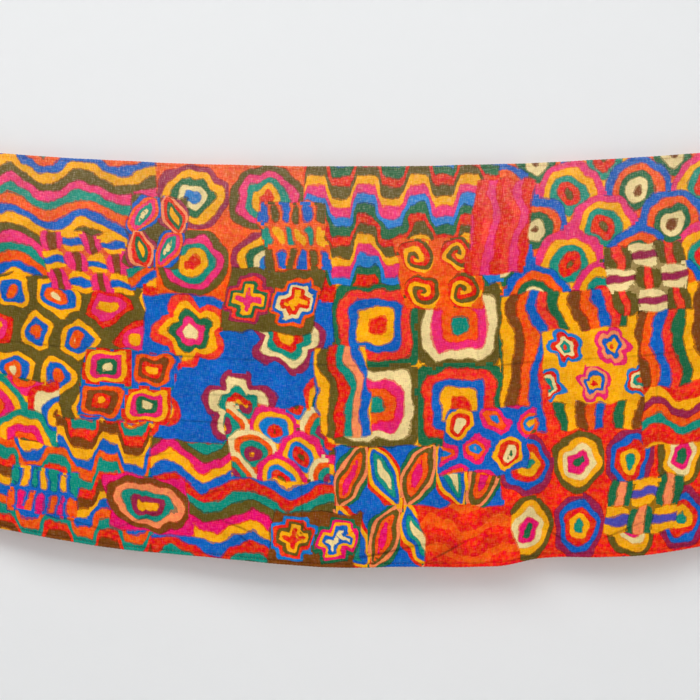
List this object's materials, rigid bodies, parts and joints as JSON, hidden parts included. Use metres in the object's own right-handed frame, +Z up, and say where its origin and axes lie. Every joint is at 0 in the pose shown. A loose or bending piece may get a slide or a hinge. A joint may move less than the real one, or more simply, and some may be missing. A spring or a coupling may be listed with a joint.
{
  "type": "scarf",
  "caption": "Long rectangular scarf of thin printed cotton with narrow rolled hems, held by its two upper corners so that it hangs as a shallow swag with soft folds.",
  "frame": {"origin": "the scarf's upper left corner, one of the two places where it is held up", "axes": "+X along the scarf towards its right-hand end, +Z up, and the printed face looks towards -Y"},
  "size_m": [1.7929, 0.0503, 0.5703],
  "materials": {
    "printed_cotton": "thin plain-weave cotton, printed, matt",
    "rolled_hem": "the same printed cotton, rolled and stitched, matt"
  },
  "bodies": {
    "root": {"cloth_panel": "printed_cotton", "hem_top": "rolled_hem", "hem_bottom": "rolled_hem", "hem_left": "rolled_hem", "hem_right": "rolled_hem"}
  },
  "joints": []
}
